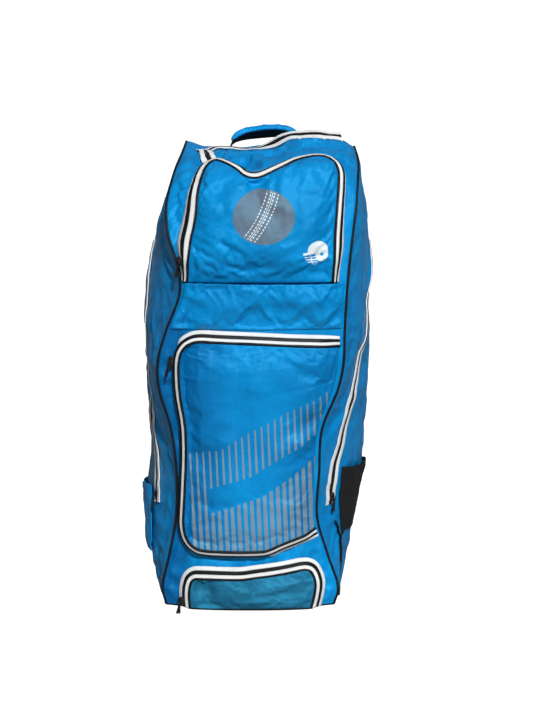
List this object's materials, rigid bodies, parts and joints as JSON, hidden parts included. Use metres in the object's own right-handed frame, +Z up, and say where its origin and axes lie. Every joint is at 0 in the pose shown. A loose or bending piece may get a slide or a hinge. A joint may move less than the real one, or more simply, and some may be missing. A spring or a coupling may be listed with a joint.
{
  "type": "cricket kit bag",
  "caption": "Tall stand-up soft sports bag with zipped front pockets, zipped sides, a top zip and a grab handle",
  "frame": {"origin": "on the floor under the middle of the bag's box", "axes": "+X to the bag's right as the picture shows it, +Y from the front pockets to the back, +Z up"},
  "size_m": [0.4102, 0.349, 0.8057],
  "materials": {
    "blue_cloth": "bright blue coated nylon with a fine plain weave and a soft sheen",
    "dull_blue_cloth": "greyer blue coated nylon with horizontal creases",
    "white_tape": "white woven binding tape with a stitched edge",
    "zip_chain": "black nylon coil zip",
    "black_piping": "black bound piping cord",
    "black_webbing": "black woven webbing",
    "black_mesh": "black net cloth",
    "slider": "black enamelled zip slider",
    "pull_tab": "black cord pull with a small metal tip",
    "base": "black coated cloth over a stiff board"
  },
  "bodies": {
    "root": {"base_panel": "base", "front_panel": "blue_cloth", "left_side_panel": "blue_cloth", "right_side_panel": "blue_cloth", "back_panel": "blue_cloth", "front_band": "blue_cloth", "upper_pocket_face": "blue_cloth", "upper_pocket_piping": "black_piping", "upper_pocket_inner_tape": "white_tape", "upper_pocket_zip_chain": "zip_chain", "upper_pocket_outer_tape": "white_tape", "middle_pocket_face": "blue_cloth", "middle_pocket_piping": "black_piping", "middle_pocket_inner_tape": "white_tape", "middle_pocket_zip_chain": "zip_chain", "middle_pocket_outer_tape": "white_tape", "lower_pocket_face": "dull_blue_cloth", "lower_pocket_piping": "black_piping", "lower_pocket_inner_tape": "white_tape", "lower_pocket_zip_chain": "zip_chain", "lower_pocket_outer_tape": "white_tape", "left_seam_piping": "black_piping", "right_seam_piping": "black_piping", "left_back_piping": "black_piping", "right_back_piping": "black_piping", "top_back_piping": "black_piping", "right_gusset_piping": "black_piping", "left_side_front_tape": "white_tape", "left_side_zip_chain": "zip_chain", "left_side_rear_tape": "white_tape", "right_side_front_tape": "white_tape", "right_side_zip_chain": "zip_chain", "right_side_rear_tape": "white_tape", "top_front_tape": "white_tape", "top_zip_chain": "zip_chain", "top_rear_tape": "white_tape", "right_mesh_pocket": "black_mesh", "left_low_pocket": "blue_cloth", "top_handle_webbing": "black_webbing", "top_handle_grip": "blue_cloth", "upper_pocket_slider": "slider", "upper_pocket_pull_tab": "pull_tab", "middle_pocket_slider": "slider", "middle_pocket_pull_tab": "pull_tab", "lower_pocket_slider": "slider", "lower_pocket_pull_tab": "pull_tab", "left_side_slider": "slider", "left_side_pull_tab": "pull_tab", "right_side_slider": "slider", "right_side_pull_tab": "pull_tab"}
  },
  "joints": []
}
